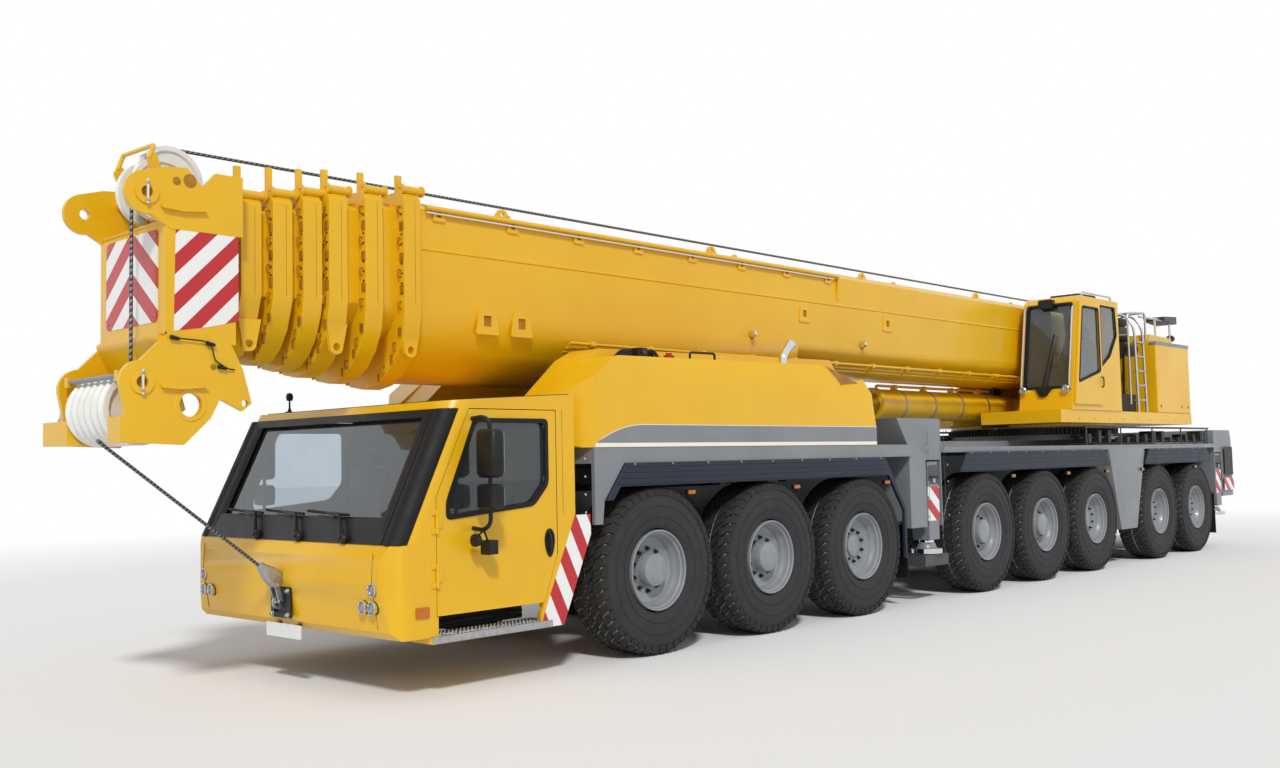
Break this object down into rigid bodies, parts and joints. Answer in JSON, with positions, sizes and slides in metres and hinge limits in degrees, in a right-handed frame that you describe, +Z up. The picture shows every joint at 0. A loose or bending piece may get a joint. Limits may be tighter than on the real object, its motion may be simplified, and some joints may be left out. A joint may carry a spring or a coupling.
{
  "type": "mobile crane",
  "caption": "All-terrain mobile crane in road position, with a telescopic boom lying forward over the cab, outriggers drawn in and its hook rope tied to the towing plate.",
  "frame": {"origin": "on the ground below the middle of the crane, at mid length and mid width", "axes": "+X forward along the boom, +Y to the left, +Z up"},
  "size_m": [19.882, 3.56, 4.16],
  "materials": {
    "chassis_grey": "satin",
    "fender_dark": "satin",
    "crane_yellow": "gloss",
    "rim_and_tyre": "matt",
    "axle_grey": "satin",
    "engine_metal": "matt",
    "cab_glass": "clear",
    "cab_trim": "matt",
    "bright_steel": "polished",
    "ladder_alloy": "brushed",
    "sheave_white": "satin",
    "rope_steel": "dull"
  },
  "bodies": {
    "carrier": {"chassis_frame": "chassis_grey", "axle_beams": "axle_grey", "fenders": "fender_dark", "deck_housings": "crane_yellow", "engine": "engine_metal", "carrier_cab_shell": "crane_yellow", "carrier_cab_glass": "cab_glass", "carrier_cab_interior": "cab_trim"},
    "wheel_1_left": {"wheel_1_left": "rim_and_tyre"},
    "knuckle_1_left": {"knuckle_1_left": "axle_grey"},
    "wheel_1_right": {"wheel_1_right": "rim_and_tyre"},
    "knuckle_1_right": {"knuckle_1_right": "axle_grey"},
    "wheel_2_left": {"wheel_2_left": "rim_and_tyre"},
    "knuckle_2_left": {"knuckle_2_left": "axle_grey"},
    "wheel_2_right": {"wheel_2_right": "rim_and_tyre"},
    "knuckle_2_right": {"knuckle_2_right": "axle_grey"},
    "wheel_3_left": {"wheel_3_left": "rim_and_tyre"},
    "knuckle_3_left": {"knuckle_3_left": "axle_grey"},
    "wheel_3_right": {"wheel_3_right": "rim_and_tyre"},
    "knuckle_3_right": {"knuckle_3_right": "axle_grey"},
    "wheel_4_left": {"wheel_4_left": "rim_and_tyre"},
    "wheel_4_right": {"wheel_4_right": "rim_and_tyre"},
    "wheel_5_left": {"wheel_5_left": "rim_and_tyre"},
    "wheel_5_right": {"wheel_5_right": "rim_and_tyre"},
    "wheel_6_left": {"wheel_6_left": "rim_and_tyre"},
    "wheel_6_right": {"wheel_6_right": "rim_and_tyre"},
    "wheel_7_left": {"wheel_7_left": "rim_and_tyre"},
    "wheel_7_right": {"wheel_7_right": "rim_and_tyre"},
    "wheel_8_left": {"wheel_8_left": "rim_and_tyre"},
    "wheel_8_right": {"wheel_8_right": "rim_and_tyre"},
    "carrier_cab_door_left": {"carrier_cab_door_left": "crane_yellow"},
    "carrier_cab_door_right": {"carrier_cab_door_right": "crane_yellow"},
    "outrigger_beam_front_left": {"outrigger_beam_front_left": "chassis_grey"},
    "outrigger_jack_front_left": {"outrigger_jack_front_left": "bright_steel"},
    "outrigger_beam_front_right": {"outrigger_beam_front_right": "chassis_grey"},
    "outrigger_jack_front_right": {"outrigger_jack_front_right": "bright_steel"},
    "outrigger_beam_rear_left": {"outrigger_beam_rear_left": "chassis_grey"},
    "outrigger_jack_rear_left": {"outrigger_jack_rear_left": "bright_steel"},
    "outrigger_beam_rear_right": {"outrigger_beam_rear_right": "chassis_grey"},
    "outrigger_jack_rear_right": {"outrigger_jack_rear_right": "bright_steel"},
    "superstructure": {"slewing_platform": "crane_yellow", "machinery_houses": "crane_yellow", "ladder": "ladder_alloy"},
    "crane_cab": {"crane_cab_shell": "crane_yellow", "crane_cab_glass": "cab_glass", "crane_cab_interior": "cab_trim"},
    "crane_cab_door": {"crane_cab_door": "crane_yellow"},
    "hoist_winch": {"hoist_winch": "axle_grey"},
    "luffing_barrel": {"luffing_barrel": "crane_yellow"},
    "luffing_rod": {"luffing_rod": "bright_steel"},
    "boom_base": {"boom_base": "crane_yellow"},
    "boom_section_1": {"boom_section_1": "crane_yellow"},
    "boom_section_2": {"boom_section_2": "crane_yellow"},
    "boom_section_3": {"boom_section_3": "crane_yellow"},
    "boom_section_4": {"boom_section_4": "crane_yellow"},
    "boom_section_5": {"boom_section_5": "crane_yellow"},
    "boom_section_6": {"boom_section_6": "crane_yellow", "head_sheaves": "sheave_white", "hoist_rope": "rope_steel"}
  },
  "joints": [
    {"name": "steer_1_left", "type": "hinge", "parent": "carrier", "child": "knuckle_1_left", "pos_m": [5.47, 0.985, 0.747], "axis": [0, 0, 1], "range_deg": [-30, 30]},
    {"name": "spin_1_left", "type": "hinge", "parent": "knuckle_1_left", "child": "wheel_1_left", "pos_m": [5.47, 1.262, 0.747], "axis": [0, 1, 0], "continuous": true},
    {"name": "steer_1_right", "type": "hinge", "parent": "carrier", "child": "knuckle_1_right", "pos_m": [5.47, -0.985, 0.747], "axis": [0, 0, 1], "range_deg": [-30, 30]},
    {"name": "spin_1_right", "type": "hinge", "parent": "knuckle_1_right", "child": "wheel_1_right", "pos_m": [5.47, -1.262, 0.747], "axis": [0, 1, 0], "continuous": true},
    {"name": "steer_2_left", "type": "hinge", "parent": "carrier", "child": "knuckle_2_left", "pos_m": [3.82, 0.985, 0.747], "axis": [0, 0, 1], "range_deg": [-23.5, 23.5]},
    {"name": "spin_2_left", "type": "hinge", "parent": "knuckle_2_left", "child": "wheel_2_left", "pos_m": [3.82, 1.262, 0.747], "axis": [0, 1, 0], "continuous": true},
    {"name": "steer_2_right", "type": "hinge", "parent": "carrier", "child": "knuckle_2_right", "pos_m": [3.82, -0.985, 0.747], "axis": [0, 0, 1], "range_deg": [-23.5, 23.5]},
    {"name": "spin_2_right", "type": "hinge", "parent": "knuckle_2_right", "child": "wheel_2_right", "pos_m": [3.82, -1.262, 0.747], "axis": [0, 1, 0], "continuous": true},
    {"name": "steer_3_left", "type": "hinge", "parent": "carrier", "child": "knuckle_3_left", "pos_m": [2.17, 0.985, 0.747], "axis": [0, 0, 1], "range_deg": [-16.6, 16.6]},
    {"name": "spin_3_left", "type": "hinge", "parent": "knuckle_3_left", "child": "wheel_3_left", "pos_m": [2.17, 1.262, 0.747], "axis": [0, 1, 0], "continuous": true},
    {"name": "steer_3_right", "type": "hinge", "parent": "carrier", "child": "knuckle_3_right", "pos_m": [2.17, -0.985, 0.747], "axis": [0, 0, 1], "range_deg": [-16.6, 16.6]},
    {"name": "spin_3_right", "type": "hinge", "parent": "knuckle_3_right", "child": "wheel_3_right", "pos_m": [2.17, -1.262, 0.747], "axis": [0, 1, 0], "continuous": true},
    {"name": "spin_4_left", "type": "hinge", "parent": "carrier", "child": "wheel_4_left", "pos_m": [-0.63, 1.262, 0.747], "axis": [0, 1, 0], "continuous": true},
    {"name": "spin_4_right", "type": "hinge", "parent": "carrier", "child": "wheel_4_right", "pos_m": [-0.63, -1.262, 0.747], "axis": [0, 1, 0], "continuous": true},
    {"name": "spin_5_left", "type": "hinge", "parent": "carrier", "child": "wheel_5_left", "pos_m": [-2.28, 1.262, 0.747], "axis": [0, 1, 0], "continuous": true},
    {"name": "spin_5_right", "type": "hinge", "parent": "carrier", "child": "wheel_5_right", "pos_m": [-2.28, -1.262, 0.747], "axis": [0, 1, 0], "continuous": true},
    {"name": "spin_6_left", "type": "hinge", "parent": "carrier", "child": "wheel_6_left", "pos_m": [-3.93, 1.262, 0.747], "axis": [0, 1, 0], "continuous": true},
    {"name": "spin_6_right", "type": "hinge", "parent": "carrier", "child": "wheel_6_right", "pos_m": [-3.93, -1.262, 0.747], "axis": [0, 1, 0], "continuous": true},
    {"name": "spin_7_left", "type": "hinge", "parent": "carrier", "child": "wheel_7_left", "pos_m": [-6.38, 1.262, 0.747], "axis": [0, 1, 0], "continuous": true},
    {"name": "spin_7_right", "type": "hinge", "parent": "carrier", "child": "wheel_7_right", "pos_m": [-6.38, -1.262, 0.747], "axis": [0, 1, 0], "continuous": true},
    {"name": "spin_8_left", "type": "hinge", "parent": "carrier", "child": "wheel_8_left", "pos_m": [-8.03, 1.262, 0.747], "axis": [0, 1, 0], "continuous": true},
    {"name": "spin_8_right", "type": "hinge", "parent": "carrier", "child": "wheel_8_right", "pos_m": [-8.03, -1.262, 0.747], "axis": [0, 1, 0], "continuous": true},
    {"name": "carrier_door_left", "type": "hinge", "parent": "carrier", "child": "carrier_cab_door_left", "pos_m": [7.933, 1.49, 1.1], "axis": [0, 0, -1], "range_deg": [0, 70]},
    {"name": "carrier_door_right", "type": "hinge", "parent": "carrier", "child": "carrier_cab_door_right", "pos_m": [7.933, -1.49, 1.1], "axis": [0, 0, 1], "range_deg": [0, 70]},
    {"name": "beam_slide_front_left", "type": "slide", "parent": "carrier", "child": "outrigger_beam_front_left", "axis": [0, 1, 0], "range_m": [0, 2.1]},
    {"name": "jack_slide_front_left", "type": "slide", "parent": "outrigger_beam_front_left", "child": "outrigger_jack_front_left", "axis": [0, 0, -1], "range_m": [0, 0.6]},
    {"name": "beam_slide_front_right", "type": "slide", "parent": "carrier", "child": "outrigger_beam_front_right", "axis": [0, -1, 0], "range_m": [0, 2.1]},
    {"name": "jack_slide_front_right", "type": "slide", "parent": "outrigger_beam_front_right", "child": "outrigger_jack_front_right", "axis": [0, 0, -1], "range_m": [0, 0.6]},
    {"name": "beam_slide_rear_left", "type": "slide", "parent": "carrier", "child": "outrigger_beam_rear_left", "axis": [0, 1, 0], "range_m": [0, 2.1]},
    {"name": "jack_slide_rear_left", "type": "slide", "parent": "outrigger_beam_rear_left", "child": "outrigger_jack_rear_left", "axis": [0, 0, -1], "range_m": [0, 0.6]},
    {"name": "beam_slide_rear_right", "type": "slide", "parent": "carrier", "child": "outrigger_beam_rear_right", "axis": [0, -1, 0], "range_m": [0, 2.1]},
    {"name": "jack_slide_rear_right", "type": "slide", "parent": "outrigger_beam_rear_right", "child": "outrigger_jack_rear_right", "axis": [0, 0, -1], "range_m": [0, 0.6]},
    {"name": "slew", "type": "hinge", "parent": "carrier", "child": "superstructure", "pos_m": [-5.03, 0, 2.11], "axis": [0, 0, 1], "continuous": true},
    {"name": "crane_cab_tilt", "type": "hinge", "parent": "superstructure", "child": "crane_cab", "pos_m": [-5.04, 1.07, 2.3203], "axis": [0, -1, 0], "range_deg": [0, 20]},
    {"name": "crane_cab_door_slide", "type": "slide", "parent": "crane_cab", "child": "crane_cab_door", "axis": [-1, 0, 0], "range_m": [0, 0.7]},
    {"name": "winch_spin", "type": "hinge", "parent": "superstructure", "child": "hoist_winch", "pos_m": [-7.75, 0, 2.62], "axis": [0, 1, 0], "continuous": true},
    {"name": "luff", "type": "hinge", "parent": "superstructure", "child": "boom_base", "pos_m": [-7, 0, 3.15], "axis": [0, -1, 0], "range_deg": [0, 82]},
    {"name": "luffing_barrel_swing", "type": "hinge", "parent": "superstructure", "child": "luffing_barrel", "pos_m": [-4.2, 0, 2.41], "axis": [0, -1, 0], "range_deg": [0, 95.82]},
    {"name": "luffing_rod_slide", "type": "slide", "parent": "luffing_barrel", "child": "luffing_rod", "axis": [1, 0, 0], "range_m": [0, 3.408]},
    {"name": "telescope_1", "type": "slide", "parent": "boom_base", "child": "boom_section_1", "axis": [1, 0, 0], "range_m": [0, 11.9]},
    {"name": "telescope_2", "type": "slide", "parent": "boom_section_1", "child": "boom_section_2", "axis": [1, 0, 0], "range_m": [0, 11.9]},
    {"name": "telescope_3", "type": "slide", "parent": "boom_section_2", "child": "boom_section_3", "axis": [1, 0, 0], "range_m": [0, 11.9]},
    {"name": "telescope_4", "type": "slide", "parent": "boom_section_3", "child": "boom_section_4", "axis": [1, 0, 0], "range_m": [0, 11.9]},
    {"name": "telescope_5", "type": "slide", "parent": "boom_section_4", "child": "boom_section_5", "axis": [1, 0, 0], "range_m": [0, 11.9]},
    {"name": "telescope_6", "type": "slide", "parent": "boom_section_5", "child": "boom_section_6", "axis": [1, 0, 0], "range_m": [0, 11.9]}
  ],
  "couplings": [
    {"joint": "steer_1_right", "follows": "steer_1_left", "ratio": 1},
    {"joint": "steer_2_left", "follows": "steer_1_left", "ratio": 0.78},
    {"joint": "steer_2_right", "follows": "steer_1_left", "ratio": 0.78},
    {"joint": "steer_3_left", "follows": "steer_1_left", "ratio": 0.55},
    {"joint": "steer_3_right", "follows": "steer_1_left", "ratio": 0.55},
    {"joint": "luffing_barrel_swing", "follows": "luff", "ratio": 1.1661},
    {"joint": "luffing_rod_slide", "follows": "luff", "m_per_rad": 2.3744}
  ]
}
